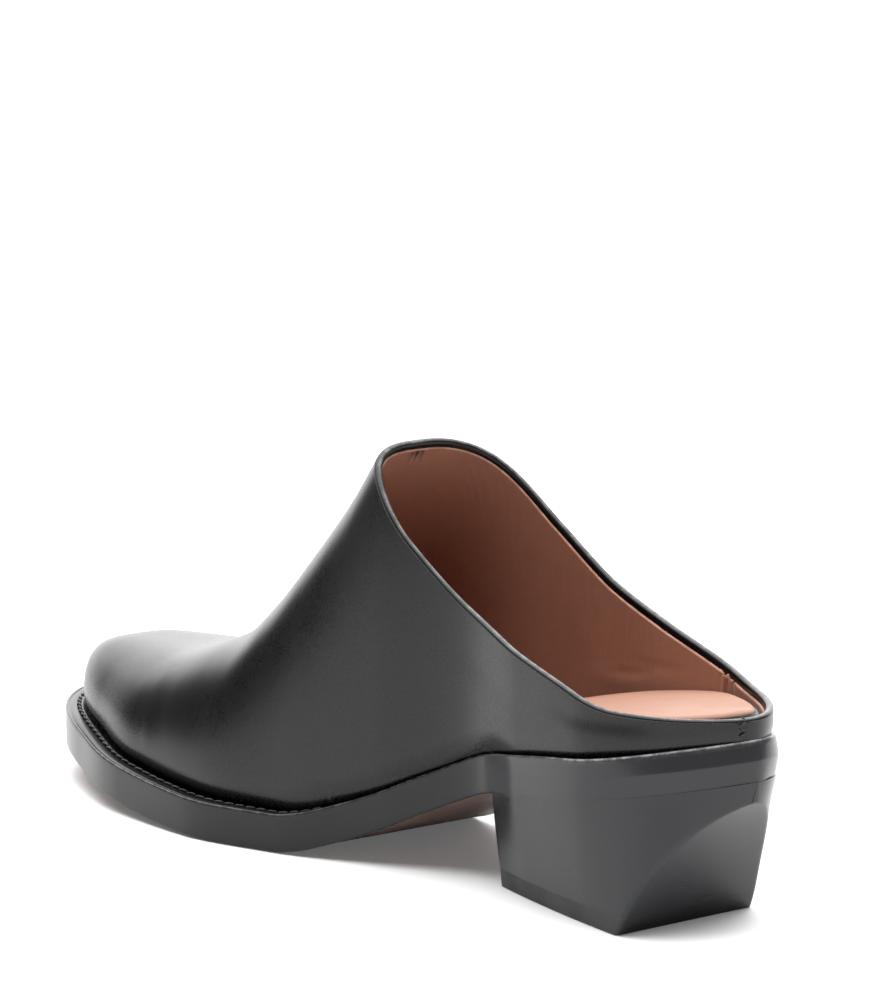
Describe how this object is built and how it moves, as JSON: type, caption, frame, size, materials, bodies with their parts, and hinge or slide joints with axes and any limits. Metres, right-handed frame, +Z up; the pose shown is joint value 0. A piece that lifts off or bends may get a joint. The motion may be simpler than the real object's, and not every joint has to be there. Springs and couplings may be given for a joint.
{
  "type": "mule shoe",
  "caption": "Heeled leather mule for the left foot: closed toe, high throat, low back rim, welted sole, undercut block heel and padded insole.",
  "frame": {"origin": "middle of the heel's ground face, on the floor", "axes": "+X from the heel to the toe, +Y to the wearer's left, the outer side of this left shoe, +Z up"},
  "size_m": [0.27, 0.0833, 0.1049],
  "materials": {
    "upper_leather": "smooth black calf with a soft sheen",
    "insole_leather": "matt tan lining leather over padding",
    "welt_leather": "black edge paint, semi-gloss, with black lockstitching",
    "outsole_leather": "tan sole leather with black painted edges",
    "heel_block": "stacked leather under black heel paint, semi-gloss",
    "top_piece_rubber": "matt black rubber"
  },
  "bodies": {
    "root": {"upper": "upper_leather", "insole": "insole_leather", "welt": "welt_leather", "outsole": "outsole_leather", "heel": "heel_block", "top_piece": "top_piece_rubber"}
  },
  "joints": []
}
